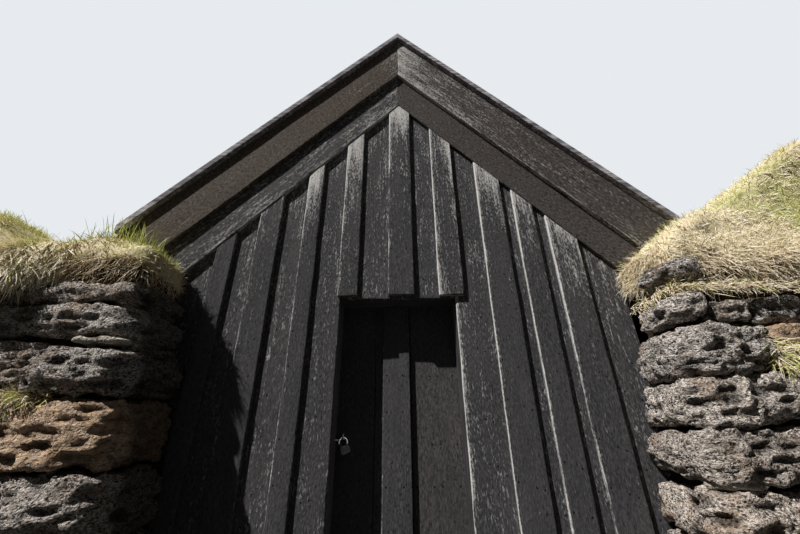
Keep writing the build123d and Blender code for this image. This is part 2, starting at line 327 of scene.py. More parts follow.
def addFloor():
    # a wide pale disc whose middle lies flat and whose rim rises a little
    look = floorLook
    size, count = look["size"], look["count"]
    side = np.linspace(-size, size, count)
    across, along = np.meshgrid(side, side)
    reach = np.maximum(np.abs(across), np.abs(along)) / (np.hypot(across, along) + 1e-9)
    across, along = across * reach, along * reach
    rim = np.clip((np.hypot(across, along) - size / 2) / size, 0, None)
    height = rim ** 2 * look["rimRise"] - look["below"]
    points = np.stack([across, along + look["middle"], height], -1).reshape(-1, 3)
    material, tree = newMaterial("paleFloor")
    cloud = noiseOf(tree, objectPlace(tree), 0.6)
    pale = mixColour(tree, cloud, look["colour"], look["pale"])
    colour = mixColour(tree, seenDirectly(tree), look["bounce"], pale)
    finishMaterial(material, colour, 0.95, 0.1)
    floor = makeObject("floor", points, gridFaces(np.arange(count * count).reshape(count, count)), material)


# tarred boards
boardLook = {
    "rowStep": 0.030,
    "columnStep": 0.022,
    "nearSides": [0.0, 0.0012, 0.0032, 0.008],
    "nearEnds": [0.0, 0.0015, 0.004, 0.012],
    "arris": 0.0032,
    "edgeWobble": 0.0016,
    "faceWobble": 0.0016,
    "cupping": 0.0022,
    "tar": (0.030, 0.030, 0.0325, 1.0),
    "tarPale": (0.108, 0.106, 0.112, 1.0),
    "tarWorn": (0.105, 0.098, 0.098, 1.0),
    "coolTar": (0.050, 0.051, 0.056, 1.0),
    "brownTar": (0.030, 0.023, 0.017, 1.0),
    "brownTarPale": (0.160, 0.128, 0.104, 1.0),
    "bareWood": (0.40, 0.39, 0.38, 1.0),
    "bareWoodPale": (0.84, 0.83, 0.82, 1.0),
    "pit": (0.008, 0.008, 0.009, 1.0),
    "gloss": 0.04,
    "grainDepth": 0.0032,
    "nailSize": 0.0062,
    "nailSpacing": 0.62,
    "nailRows": 0.075,
    "nailInset": 0.024,
    "firstNail": 0.11,
    "nailStagger": 0.31,
}


def spread(length, step, ends):
    # positions along a length: close together near both ends, evenly spaced between
    inner = max(2, int(round((length - 2 * ends[-1]) / step)) + 1)
    middle = np.linspace(ends[-1], length - ends[-1], inner)
    return np.concatenate([ends[:-1], middle, length - np.array(ends[:-1])[::-1]])


def addBoard(heap, corners, place, seed, wear, tint=0.0):
    # place(u, v) gives x and z of the board's face for u across and v along, each from 0 to 1
    look = boardLook
    front, back = corners[:, 1].min(), corners[:, 1].max()
    start, end, foot, top = (np.array(place(*middle)) for middle in ((0, 0.5), (1, 0.5), (0.5, 0), (0.5, 1)))
    width, length = np.linalg.norm(end - start), np.linalg.norm(top - foot)
    across = spread(width, look["columnStep"], look["nearSides"])
    along = spread(length, look["rowStep"], look["nearEnds"])
    u, v = np.meshgrid(across / width, along / length)
    x, z = place(u, v)
    rows, columns = x.shape
    metres = v * length

    def rough(a, b, kind):
        return roughNoise(np.stack([a, b, np.full_like(a, seed * 7.3 + kind)], -1), seed, 3)

    fromSide, fromEnd = np.minimum(u, 1 - u) * width, np.minimum(v, 1 - v) * length
    radius = look["arris"] * (1 + 0.7 * rough((u > 0.5) * 9.0, metres * 9, 1)) + 0.0005
    depth = sum(np.clip(radius - apart, 0, None) ** 2 / radius for apart in (fromSide, fromEnd))
    depth += look["faceWobble"] * rough(u * width * 9, metres * 2.2, 2)
    depth += look["cupping"] * smoothNoise(np.full((1, 3), seed * 1.7))[0] * (4 * (u - 0.5) ** 2)
    side = (u - 0.5) * 2
    pull = look["edgeWobble"] * rough((side > 0) * 5.0, metres * 5, 3) * np.abs(side)
    nextX, nextZ = place(u + 1e-3, v)
    pull /= np.hypot(nextX - x, nextZ - z) + 1e-9
    x, z = x + (nextX - x) * pull, z + (nextZ - z) * pull
    backs = [np.stack([x[:, edge], np.full(rows, back), z[:, edge]], -1) for edge in (0, -1)]
    points = np.concatenate([np.stack([x, front + depth, z], -1).reshape(-1, 3), *backs])

    grid = np.arange(rows * columns).reshape(rows, columns)
    left, right = (rows * columns + first + np.arange(rows) for first in (0, rows))
    pairs = ((grid[:, -1], right), (left, grid[:, 0]), (right, left))
    strips = [grid] + [np.stack(pair, 1) for pair in pairs]
    faces = [face for strip in strips for face in gridFaces(strip)]
    faces.append([*grid[0, ::-1].tolist(), int(left[0]), int(right[0])])
    faces.append([*grid[-1].tolist(), int(right[-1]), int(left[-1])])

    thick = back - front
    grain = [np.stack([u * width, metres, np.full_like(u, seed * 3.7)], -1).reshape(-1, 3)]
    for beside in (-thick, width + thick):
        grain.append(np.stack([np.full(rows, beside), along, np.full(rows, seed * 3.7)], -1))
    worn = [wear(u, metres, length).reshape(-1)] + [wear(edge, along, length) for edge in (0, 1)]
    edge = [np.clip(1 - fromSide / 0.006, 0, 1).reshape(-1), np.full(2 * rows, 0.55)]
    heap.add(
        points, faces, grain=np.concatenate(grain), wear=np.concatenate(worn), edge=np.concatenate(edge),
        tint=np.full(len(points), tint),
    )


# how wear fades: by shares of the board's width from a side, or by metres from an end
wearFades = dict(
    leftEdge=22, rightEdge=18, corner=3, foot=0.25, leftFoot=0.35, rightTop=0.45, ridge=0.8, edge=0.9,
)


def wearOf(even=0.0, top=0.0, fall=0.6, foot=0.0, ridge=0.0,
           leftEdge=0.0, rightEdge=0.0, leftFoot=0.0, rightTop=0.0):
    # wear is greatest at a board's top, fades down it, and follows its edges
    fades = wearFades

    def wear(u, metres, length):
        fromTop = length - metres
        value = even + top * np.exp(-fromTop / fall)
        value = value + foot * np.exp(-metres / fades["foot"]) + ridge * np.exp(-metres / fades["ridge"])
        lower = 0.66 + 0.34 * np.exp(-fromTop / fades["edge"])
        value = value + leftEdge * np.exp(-u * fades["leftEdge"]) * lower
        value = value + rightEdge * np.exp((u - 1) * fades["rightEdge"])
        value = value + leftFoot * np.exp(-u * fades["corner"] - metres / fades["leftFoot"])
        return value + rightTop * np.exp((u - 1) * fades["corner"] - fromTop / fades["rightTop"])
    return wear


def uprightPlace(corners, low=None, left=None, right=None):
    # a board that stands upright, its top cut along the roof line
    xs = corners[:, 0]
    left = xs.min() if left is None else left
    right = xs.max() if right is None else right
    low = corners[:, 2].min() if low is None else low
    topX = np.unique(np.round(xs, 4))
    topZ = np.array([corners[np.abs(xs - x) < 1e-3, 2].max() for x in topX])
    keep = topZ > low + 0.6 * (topZ.max() - low)
    topX, topZ = topX[keep], topZ[keep]

    def place(u, v):
        x = left + (right - left) * u
        return x, low + (np.interp(x, topX, topZ) - low) * v
    return place


def slopePlace(corners):
    # a board on the slope: u runs from its lower edge to its upper, v from the ridge down
    side = 1 if corners[:, 0].mean() > 0 else -1
    across, heights = corners[:, 0] * side, corners[:, 2]
    ridge, end, foot = heights[across < 1e-3], across.max(), heights.min()
    lowRidge, highRidge = (0, ridge.min()), (0, ridge.max())
    highEnd = (end, heights[across > end - 1e-3].max())
    lowEnd = (across[heights < foot + 1e-3].min(), foot)

    def place(u, v):
        u = 1 - u if side > 0 else u
        x, z = ((lowRidge[i] * (1 - u) + highRidge[i] * u) * (1 - v)
                + (lowEnd[i] * (1 - u) + highEnd[i] * u) * v for i in (0, 1))
        return x * side, z
    return place


def makeTarredWood():
    look = boardLook
    material, tree = newMaterial("tarredWood")
    grain = readAttribute(tree, "grain", "Vector")
    wear, edge, tint = (readAttribute(tree, name) for name in ("wear", "edge", "tint"))
    short = noiseOf(tree, grain, (112, 42, 1), 4.0, 0.62, 0.4)
    streak = noiseOf(tree, grain, (66, 4.2, 1), 5.0, 0.62, 0.4)
    patch = noiseOf(tree, grain, (15, 4.5, 1))
    broad = noiseOf(tree, grain, (5, 1.1, 1), 2.0, 0.5)
    fine = noiseOf(tree, grain, (360, 130, 1), 3.0, 0.65)
    pits = noiseOf(tree, grain, (85, 42, 1), 3.0, 0.7, 0.5)

    # where the tar has gone and grey wood shows
    mask = weigh(tree, (short, 0.50), (streak, 0.34), (patch, 0.24), (fine, 0.10), (wear, 0.27), (edge, 0.05))
    bare = remap(tree, mask, 0.72, 0.88)
    tar = coats(tree, look["tar"], (short, 0.38, 0.66, 1.0, look["tarPale"]),
                (broad, 0.35, 0.68, 0.35, look["tarWorn"]), (patch, 0.35, 0.65, 0.55, look["coolTar"]))
    brown = coats(tree, look["brownTar"], (short, 0.40, 0.62, 1.0, look["brownTarPale"]))
    wood = coats(tree, look["bareWood"], (fine, 0.32, 0.68, 1.0, look["bareWoodPale"]))
    colour = mixColour(tree, bare, mixColour(tree, tint, tar, brown), wood)
    colour = coats(tree, colour, (pits, 0.60, 0.68, 0.85, look["pit"]))

    # nails, in two rows along each board
    split = addNode(tree, "SeparateXYZ", {0: grain}).outputs
    fromRow = calc(tree, "SUBTRACT", calc(tree, "PINGPONG", split["X"], look["nailRows"]), look["nailInset"])
    place = weigh(tree, (split["Z"], look["nailStagger"]), (split["Y"], 1.0))
    fromNail = calc(tree, "PINGPONG", place, look["nailSpacing"] / 2)
    fromNail = calc(tree, "SUBTRACT", fromNail, look["firstNail"])
    apart = calc(tree, "ADD", calc(tree, "POWER", fromRow, 2.0), calc(tree, "POWER", fromNail, 2.0))
    nail = remap(tree, calc(tree, "SQRT", apart), look["nailSize"] * 0.6, look["nailSize"], 1.0, 0.0)
    colour = mixColour(tree, calc(tree, "MULTIPLY", nail, 0.95), colour, look["pit"])
    height = weigh(tree, (short, 0.8), (streak, 0.7), (fine, 0.3), (nail, -1.2))
    return finishMaterial(material, colour, remap(tree, bare, 0.0, 1.0, 0.66, 0.95), look["gloss"],
                          height, look["grainDepth"])


def boardPiece(heap, name, material, nodeName, body="house"):
    piece = heap.piece(name, material, "tarred_wood")
    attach(piece, body)
    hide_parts(nodeName)


# wear of each over-board, from the left of the gable to its right
overBoardWear = {
    "left_over_boards": [
        dict(even=0.02, top=0.25, fall=0.5, leftEdge=0.3),
        dict(even=0.05, top=0.45, fall=0.5, leftEdge=0.5),
        dict(even=0.10, top=1.05, fall=0.42, leftEdge=0.7),
    ],
    "over_door_over_boards": [
        dict(even=0.16, top=0.95, fall=0.5, leftEdge=0.75, rightEdge=0.15),
        dict(even=0.14, top=1.05, fall=0.4, leftEdge=0.55),
        dict(even=0.18, top=0.30, fall=0.6, leftEdge=1.0, rightEdge=0.35, leftFoot=0.75, rightTop=0.8),
    ],
    "right_over_boards": [
        dict(even=0.08, top=0.85, fall=0.42, leftEdge=1.1),
        dict(even=0.04, top=0.75, fall=0.45, leftEdge=0.9),
        dict(even=0.06, top=0.75, fall=0.55, leftEdge=0.6, rightEdge=0.1),
    ],
}
underBoardWear = dict(even=0.30, top=0.30, fall=0.45, leftEdge=0.15)
besideDoorWear = {**underBoardWear, "leftEdge": 0.9}


def makeGableBoards(tarredWood):
    seed = 1
    for nodeName, wears in overBoardWear.items():
        heap = Heap()
        for corners, wear in zip(solidsOf(nodeName), wears):
            uneven = 0.004 + 0.004 * (seed % 2) if "over_door" in nodeName else 0
            addBoard(heap, corners, uprightPlace(corners, corners[:, 2].min() + uneven), seed, wearOf(**wear))
            seed += 1
        boardPiece(heap, nodeName + "Planks", tarredWood, nodeName)
    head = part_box("lintel_beam")[0].z
    for nodeName in ("left_under_boards", "over_door_under_boards", "right_under_boards"):
        heap = Heap()
        for corners in solidsOf(nodeName):
            low = corners[:, 2].min()
            foot = corners[corners[:, 2] < low + 0.01, 0]
            left, right = foot.min(), foot.max()
            low -= 0.010 if "over_door" in nodeName else 0
            wear = besideDoorWear if nodeName == "right_under_boards" and left < 0.6 else underBoardWear
            # a board that is notched for the doorway goes on over the door as a narrow strip
            parts = [(low, left, right, wear), (head, corners[:, 0].min(), left, underBoardWear),
                     (head, right, corners[:, 0].max(), underBoardWear)]
            for partLow, partLeft, partRight, partWear in parts:
                if partRight - partLeft > 0.005:
                    place = uprightPlace(corners, partLow, partLeft, partRight)
                    addBoard(heap, corners, place, seed, wearOf(**partWear))
                    seed += 1
        boardPiece(heap, nodeName + "Planks", tarredWood, nodeName)
    print("gable boards done")


# bargeboards run down the slope from the ridge: the wear of each, and how brown it is
bargeWear = {
    "left_outer_bargeboard": (dict(even=0.16, foot=0.25, ridge=0.1), 0.85),
    "right_outer_bargeboard": (dict(even=0.24, rightEdge=0.3, ridge=0.55), 0.45),
    "left_inner_bargeboard": (dict(even=0.36, foot=0.1, leftEdge=0.35, ridge=0.1), 0.1),
    "right_inner_bargeboard": (dict(even=0.12, ridge=0.1), 0.35),
}


def makeBarges(tarredWood):
    for number, (nodeName, (wear, tint)) in enumerate(bargeWear.items()):
        corners = solidsOf(nodeName)[0]
        heap = Heap()
        addBoard(heap, corners, slopePlace(corners), 40 + number, wearOf(**wear), tint)
        boardPiece(heap, nodeName + "Plank", tarredWood, nodeName)
    print("bargeboards done")


# the door: three planks and a cover plank over their joint
doorWear = [dict(even=-0.25, foot=0.3), dict(even=-0.25, foot=0.3), dict(even=-0.2, foot=0.4)]
coverWear = dict(even=-0.1, foot=0.5, leftEdge=0.5)
doorTints = [0.0, 0.0, 0.14]


def makeDoor(tarredWood):
    heap = Heap()
    for number, corners in enumerate(solidsOf("door_planks")):
        wear = wearOf(**doorWear[number])
        addBoard(heap, corners, uprightPlace(corners), 60 + number, wear, doorTints[number])
    boardPiece(heap, "doorPlanks", tarredWood, "door_planks", "door")
    heap = Heap()
    corners = solidsOf("door_cover_plank")[0]
    addBoard(heap, corners, uprightPlace(corners), 66, wearOf(**coverWear))
    boardPiece(heap, "doorCoverPlank", tarredWood, "door_cover_plank", "door")
    print("door done")


# rough lava stones, laid dry
stoneLook = {
    "step": 0.013,
    "roundness": 9.0,
    "belly": 0.032,
    "lumps": 0.022,
    "ridges": 0.024,
    "roughness": 0.0095,
    "layers": 0.015,
    "backDepth": 0.13,
    "usualHeight": 0.2,
    # the left wall end's return face, turned away from the sun, is darkened up to this far along the wall:
    # painted shade
    "paintedShadeFrom": 0.36,
    "paintedShadeLevel": 0.33,
    "grey": (0.37, 0.335, 0.31, 1.0),
    "pale": (0.93, 0.88, 0.83, 1.0),
    "dark": (0.012, 0.010, 0.009, 1.0),
    "brown": (0.26, 0.165, 0.10, 1.0),
    "orange": (0.80, 0.52, 0.29, 1.0),
    "lichen": (0.72, 0.71, 0.65, 1.0),
    # pale colour of bleached stones, also laid on one stone as painted light
    "bleachedAndPaintedLight": (0.72, 0.66, 0.57, 1.0),
    "moss": (0.10, 0.085, 0.03, 1.0),
}


def roundedGrid(counts, roundness):
    # the surface of a cube from -1 to 1, open at its back, drawn in to rounded corners
    lines = [np.linspace(-1, 1, count + 1) for count in counts]
    cube = np.stack(np.meshgrid(*lines, indexing="ij"), -1)
    index = np.arange(cube[..., 0].size).reshape(cube.shape[:3])
    sides = [gridFaces(side) for side in (index[:, :, -1].T, index[:, 0].T, index[-1].T)]
    sides += [np.roll(gridFaces(side), 1, axis=1) for side in (index[:, -1], index[0])]
    faces = np.concatenate(sides)
    used, renumbered = np.unique(faces, return_inverse=True)
    points = cube.reshape(-1, 3)[used]
    size = (np.abs(points) ** roundness).sum(axis=1) ** (1 / roundness)
    return points / size[:, None], renumbered.reshape(faces.shape).tolist()


def addStone(heap, wall, outline, seed, push, kind, step=None, mirrored=False):
    # outline is from, to along the wall, foot and top
    # wall(s, d, z) gives a place s along the wall, d out from its face and z up
    look = stoneLook
    step = step or look["step"]
    start, end, foot, top = outline
    width, height, depth = end - start, top - foot, look["backDepth"]
    counts = [max(3, int(round(size / step))) for size in (width, height, depth / 1.6)]
    unit, faces = roundedGrid(counts, look["roundness"])
    a, b, c = unit.T
    s = (start + end) / 2 + a * width / 2
    z = (foot + top) / 2 + b * height / 2
    belly = look["belly"] * (0.55 - b ** 2) * np.clip(c, 0, 1) * min(1.0, height / 0.19)
    d = push - depth * (1 - c) / 2 + belly
    place = np.stack([s, z, d], -1) + seed * 3.17
    outward = unit * np.abs(unit) ** 2
    outward /= np.linalg.norm(outward, axis=1)[:, None] + 1e-9
    lump = look["lumps"] * roughNoise(place * 5.5, seed, 2)
    ridge = 0.45 - 1.7 * np.abs(roughNoise(place * (7.5, 20, 9), seed + 5, 3))
    grit = look["roughness"] * roughNoise(place * (27, 44, 27), seed + 9, 3)
    layer = look["layers"] * smoothNoise(place * (3.0, 24.0, 3.0), seed + 3)
    size = np.clip(min(width, height) / look["usualHeight"], 0.30, 1.0)
    move = (lump + look["ridges"] * ridge + layer) * size + grit
    move = np.where(c < 0, np.minimum(move, 0.3 * move), move)
    s, z, d = s + outward[:, 0] * move, z + outward[:, 1] * move, d + outward[:, 2] * move
    z = np.maximum(z, 0.0)
    if mirrored:
        faces = [face[::-1] for face in faces]
    # hollow is high in the grooves of the ridged shape, which the material darkens as painted shade
    # the last value marks the left return face, which the material darkens as painted shade
    heap.add(
        wall(s, d, z), faces, kind=np.full(len(s), kind), shade=np.full(len(s), (seed * 0.618) % 1.0),
        hollow=np.clip(ridge + 0.2, -1, 1), damp=mirrored * np.clip((look["paintedShadeFrom"] - s) / 0.05, 0, 1),
    )


def makeStoneMaterial():
    look = stoneLook
    material, tree = newMaterial("lavaStone")
    place = objectPlace(tree)
    kind, shade, hollow, damp = (readAttribute(tree, name) for name in ("kind", "shade", "hollow", "damp"))
    stirred = addNode(tree, "TexNoise", {"Vector": place, "Scale": 26.0, "Detail": 2.0}).outputs["Color"]
    inputs = {0: stirred, 1: (0.03, 0.03, 0.03), 2: place}
    bent = addNode(tree, "VectorMath", inputs, operation="MULTIPLY_ADD").outputs[0]
    bubbles, smallBubbles = (cellsOf(tree, bent, scale) for scale in (48.0, 115.0))
    broad = noiseOf(tree, place, 5.0, 4.0, 0.6)
    layered = scaled(tree, place, (1.0, 1.0, 1.6))
    medium = noiseOf(tree, layered, 22.0, 5.0, 0.68)
    fine = noiseOf(tree, layered, 80.0, 5.0, 0.72)
    spots = noiseOf(tree, place, 9.0, 6.0, 0.75)

    # dark where the bump is low, grey and pale where it is raised: partly the stone's own speckle, partly
    # painted shade and painted highlight
    colour = coats(tree, look["dark"], (medium, 0.40, 0.54, 1.0, look["grey"]),
                   (fine, 0.47, 0.56, 0.95, look["pale"]), (broad, 0.52, 0.66, 0.6, look["brown"]))
    rusty = coats(tree, look["brown"], (medium, 0.35, 0.60, 1.0, look["orange"]))
    rust = calc(tree, "MULTIPLY", kind, remap(tree, fine, 0.72, 0.3, 0.4, 0.95))
    colour = mixColour(tree, rust, colour, rusty)
    colour = coats(tree, colour, (spots, 0.62, 0.68, 0.65, look["lichen"]),
                   (broad, 0.34, 0.27, 0.5, look["moss"]))
    # the vesicles, sunk in the bump, are filled with the dark colour: painted shade
    bubbleShade = calc(tree, "MAXIMUM", remap(tree, bubbles, 0.34, 0.10, 0.0, 0.9),
                    remap(tree, smallBubbles, 0.30, 0.1, 0.0, 0.75))
    bubbleShade = calc(tree, "MULTIPLY", bubbleShade, remap(tree, kind, 0.3, 0.9, 1.0, 0.35))
    colour = mixColour(tree, bubbleShade, colour, look["dark"])
    # a negative kind lays on the pale colour: bleached stones, and on one stone painted light
    # the grooves of the ridged shape are darkened: painted shade
    colour = coats(tree, colour, (kind, -0.2, -0.8, 0.85, look["bleachedAndPaintedLight"]),
                   (hollow, 0.0, -0.8, 0.7, look["dark"]))
    # darker on the left return face: painted shade
    bright = calc(tree, "MULTIPLY", remap(tree, shade, 0.0, 1.0, 0.85, 1.15),
                  remap(tree, damp, 0.0, 1.0, 1.0, look["paintedShadeLevel"]))
    bright = addNode(tree, "CombineColor", {0: bright, 1: bright, 2: bright}).outputs[0]
    colour = mixColour(tree, 1.0, colour, bright, "MULTIPLY")
    height = weigh(tree, (medium, 1.5), (fine, 0.55), (remap(tree, bubbles, 0.05, 0.45, 0.0, 0.62), 1.0),
                   (remap(tree, smallBubbles, 0.05, 0.40, 0.0, 0.26), 1.0))
    return finishMaterial(material, colour, 0.95, 0.05, height, 0.026)


# the earth behind the stones
earthLook = {
    "dark": (0.014, 0.010, 0.007, 1),
    "brown": (0.060, 0.040, 0.023, 1),
    "crumb": (0.13, 0.085, 0.04, 1),
    "unevenness": 0.012,
}


def makeEarthMaterial():
    look = earthLook
    material, tree = newMaterial("darkEarth")
    place = objectPlace(tree)
    lumps = noiseOf(tree, place, 16.0, 5.0, 0.7)
    crumbs = noiseOf(tree, place, 80.0, 4.0, 0.7)
    colour = coats(tree, look["dark"], (lumps, 0.35, 0.7, 1.0, look["brown"]),
                   (crumbs, 0.55, 0.75, 0.5, look["crumb"]))
    return finishMaterial(material, colour, 1.0, 0.1, weigh(tree, (lumps, 1.0), (crumbs, 0.4)), 0.02)


def addSkin(heap, wall, start, end, top, step, seed, depth):
    # the earth that shows deep in the joints
    s, z = np.meshgrid(np.arange(start, end + step, step), np.arange(0.0, top + step, step))
    d = earthLook["unevenness"] * roughNoise(np.stack([s * 6, z * 6, s * 0 + seed], -1), seed, 3) - depth
    heap.add(wall(s.ravel(), d.ravel(), z.ravel()), gridFaces(np.arange(s.size).reshape(s.shape)))


# the two wall ends beside the door wall: each face turns the corner towards the boards
wallEnds = {
    "left": dict(side=-1, innerFoot=1.205, innerTop=1.440, flare=0.065),
    "right": dict(side=1, innerFoot=1.255, innerTop=1.460, flare=-0.045),
}
wallEndShape = dict(frontFoot=0.480, frontTop=0.420, corner=0.100, top=1.825, outer=2.760, length=1.846)
wallEndEarth = dict(end=1.84, top=1.82, step=0.05, seed=5, depth=0.085)


def endWall(side, innerFoot, innerTop, flare):
    shape = wallEndShape
    corner = shape["corner"]
    quarter = corner * math.pi / 2

    def wall(s, d, z):
        up = np.clip(z / shape["top"], 0, 1)
        inner = innerFoot + (innerTop - innerFoot) * up
        straight = shape["frontFoot"] + (shape["frontTop"] - shape["frontFoot"]) * up - corner
        turn = np.clip((s - straight) / corner, 0, math.pi / 2)
        past = np.maximum(s - straight - quarter, 0)
        past = past * (shape["outer"] - inner - corner) / (shape["length"] - straight - quarter)
        across = inner + corner * (1 - np.cos(turn)) + past - d * np.cos(turn)
        across -= flare * up ** 2 * np.clip(1 - s / straight, 0, 1)
        forward = np.minimum(s, straight) + (corner + d) * np.sin(turn)
        return np.stack([side * across, -forward, z], -1)
    return wall


# each stone: from, to along the wall, foot, top, how far it stands out, and its kind:
# 1 is rusty, 0 grey, -1 bleached; a kind a little below 0 lightens a stone as painted light
wallEndStones = {
    "left": [
        (0.03, 0.41, 1.68, 1.835, -0.015, 0.1), (0.39, 0.99, 1.675, 1.80, 0.02, 0.15),
        # the second stone here is lightened by its kind, as painted light against the turf's shadow on it
        (1.01, 1.81, 1.69, 1.83, -0.02, 0.2), (0.02, 1.17, 1.505, 1.665, 0.015, -0.26),
        (1.19, 1.83, 1.52, 1.68, 0, 0.2), (0.03, 0.37, 1.445, 1.50, -0.005, 0.1),
        (0.37, 0.66, 1.462, 1.488, 0.03, -1), (0.02, 0.85, 1.215, 1.44, 0.03, 0.05),
        (0.83, 1.34, 1.225, 1.485, 0.012, 0.1), (1.36, 1.84, 1.22, 1.50, 0, 0),
        (0, 1.07, 0.905, 1.205, 0.022, 0.95), (1.09, 1.83, 0.92, 1.20, -0.01, 0.7),
        (0, 0.79, 0.64, 0.895, 0.02, 0.1), (0.78, 1.29, 0.62, 0.90, 0.03, 0),
        (1.31, 1.84, 0.63, 0.905, 0, 0.1), (0, 1.01, 0.41, 0.615, 0.02, 0.1),
        (1.03, 1.85, 0.41, 0.61, 0.02, 0.3), (0, 0.69, 0.205, 0.40, 0.02, 0.2),
        (0.71, 1.41, 0.20, 0.40, 0.03, 0), (1.43, 1.87, 0.2, 0.4, 0.01, 0.1),
        (0, 0.89, 0, 0.195, 0.03, 0.1), (0.91, 1.89, 0, 0.19, 0.02, 0.2),
    ],
    "right": [
        (0.23, 0.57, 1.785, 1.89, 0.045, 0.1), (1.04, 1.79, 1.71, 1.84, -0.04, 0.2),
        (0.10, 0.56, 1.56, 1.705, 0.01, 0.1), (0.60, 0.79, 1.545, 1.655, 0.015, 0.1),
        (0.88, 1.20, 1.545, 1.70, -0.055, 0), (1.22, 1.83, 1.54, 1.69, -0.02, 0.1),
        (0.06, 0.86, 1.275, 1.525, 0.022, 0.05), (0.89, 1.39, 1.40, 1.525, -0.01, 1),
        (0.93, 1.39, 1.28, 1.39, -0.02, 0.2), (1.41, 1.84, 1.29, 1.53, 0, 0.2),
        (0, 1.14, 1.055, 1.265, 0.018, 0.15), (1.16, 1.85, 1.06, 1.27, 0, 0.1),
        (0, 1.25, 0.83, 1.045, 0.028, 0.2), (1.27, 1.85, 0.83, 1.05, 0.01, 0),
        (0.33, 0.61, 0.803, 0.838, 0.012, -1), (0, 1.07, 0.605, 0.795, 0.022, 0.25),
        (1.09, 1.85, 0.60, 0.82, 0.015, 0.3), (0, 0.79, 0.405, 0.595, 0.02, 0.1),
        (0.81, 1.39, 0.40, 0.59, 0.025, 0.1), (1.41, 1.85, 0.4, 0.59, 0.01, 0.3),
        (0, 1.04, 0.205, 0.395, 0.03, 0.1), (1.06, 1.87, 0.2, 0.39, 0.02, 0.1),
        (0, 0.74, 0, 0.195, 0.03, 0.2), (0.76, 1.44, 0, 0.19, 0.02, 0), (1.46, 1.87, 0, 0.19, 0.02, 0.1),
    ],
}
wallEndSeeds = {"left": 100, "right": 150}


def makeWallEnds(stone, earth):
    skins = Heap()
    for name, place in wallEnds.items():
        wall = endWall(**place)
        heap = Heap()
        for number, (*outline, push, kind) in enumerate(wallEndStones[name]):
            addStone(heap, wall, outline, wallEndSeeds[name] + number, push, kind, mirrored=place["side"] < 0)
        piece = heap.piece(name + "WallEndStones", stone, "stone")
        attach(piece, "house")
        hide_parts(name + "_wall_end")
        addSkin(skins, wall, 0.0, **wallEndEarth)
    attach(skins.piece("wallEndEarth", earth, "turf"), "house")
    print("wall ends done")


# the outer, inner and back faces of the stone walls, laid by chance within even courses
courseLook = {
    "courses": 9,
    "height": 1.825,
    "unevenness": 0.008,
    "stoneLength": 0.56,
    "shortest": 0.12,
    "shift": 0.045,
    "gap": 0.006,
    "outerStep": 0.046,
    "innerStep": 0.062,
    "kinds": [0.0, 0.1, 0.2, 0.9],
    "shares": [0.5, 0.25, 0.17, 0.08],
    "push": (-0.006, 0.020),
    "earthDepth": 0.06,
    "earthTop": 1.80,
    "earthStep": 0.10,
}


def flatWall(origin, along, out):
    directions = np.array([along, out, (0, 0, 1)], float)

    def wall(s, d, z):
        return origin + np.stack([s, d, z], -1) @ directions
    return wall


def layCourses(heap, wall, length, joints, step, seed):
    # joints gives the first upright joint of each course, after which one follows every stone
    look = courseLook
    rng = np.random.default_rng(seed)
    levels = np.arange(look["courses"] + 1) * look["height"] / look["courses"]
    levels[1:-1] += rng.uniform(-look["unevenness"], look["unevenness"], len(levels) - 2)
    number = seed * 1000
    half = look["gap"] / 2
    for course, (foot, top) in enumerate(zip(levels[:-1], levels[1:])):
        ends = [0.0]
        place = joints(course)
        while place < length - look["shortest"]:
            if place > look["shortest"]:
                ends.append(place + rng.uniform(-1, 1) * look["shift"])
            place += look["stoneLength"]
        ends.append(length)
        for start, end in zip(ends[:-1], ends[1:]):
            kind = rng.choice(look["kinds"], p=look["shares"])
            outline = (start + half, end - half, foot + half, top - half)
            addStone(heap, wall, outline, number, rng.uniform(*look["push"]), kind, step)
            number += 1


def makeOtherWalls(stone, earth):
    look = courseLook
    outer, inner, skins = Heap(), Heap(), Heap()
    stoneLength, depth = look["stoneLength"], look["earthDepth"]

    def first(course):
        return stoneLength * (1 + course % 3) / 3
    # heap, where the face starts, its direction, its outward side, length, distance of its first joint
    sides = [
        (outer, (-2.78, 5.60, 0), (0, -1, 0), (-1, 0, 0), 6.04, lambda c: (5.60 - first(c)) % stoneLength),
        (outer, (2.78, -0.44, 0), (0, 1, 0), (1, 0, 0), 6.04, lambda c: 0.44 + first(c)),
        (outer, (2.78, 5.60, 0), (-1, 0, 0), (0, 1, 0), 5.56, lambda c: (4.27 - first(c)) % stoneLength),
        (inner, (-1.49, 0.21, 0), (0, 1, 0), (1, 0, 0), 4.28, first),
        (inner, (1.49, 4.49, 0), (0, -1, 0), (-1, 0, 0), 4.28, first),
        (inner, (-1.49, 4.50, 0), (1, 0, 0), (0, -1, 0), 2.98, first),
    ]
    for number, (heap, origin, along, out, length, joints) in enumerate(sides):
        wall = flatWall(origin, along, out)
        step = look["outerStep" if heap is outer else "innerStep"]
        layCourses(heap, wall, length, joints, step, 11 + number)
        addSkin(skins, wall, depth, length - depth, look["earthTop"], look["earthStep"], 20 + number, depth)
    piece = outer.piece("outerWallStones", stone, "stone")
    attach(piece, "house")
    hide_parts("left_side_wall", "right_side_wall", "back_wall")
    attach(inner.piece("innerWallStones", stone, "stone"), "house")
    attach(skins.piece("wallEarth", earth, "turf"), "house")
    print("stone walls done")


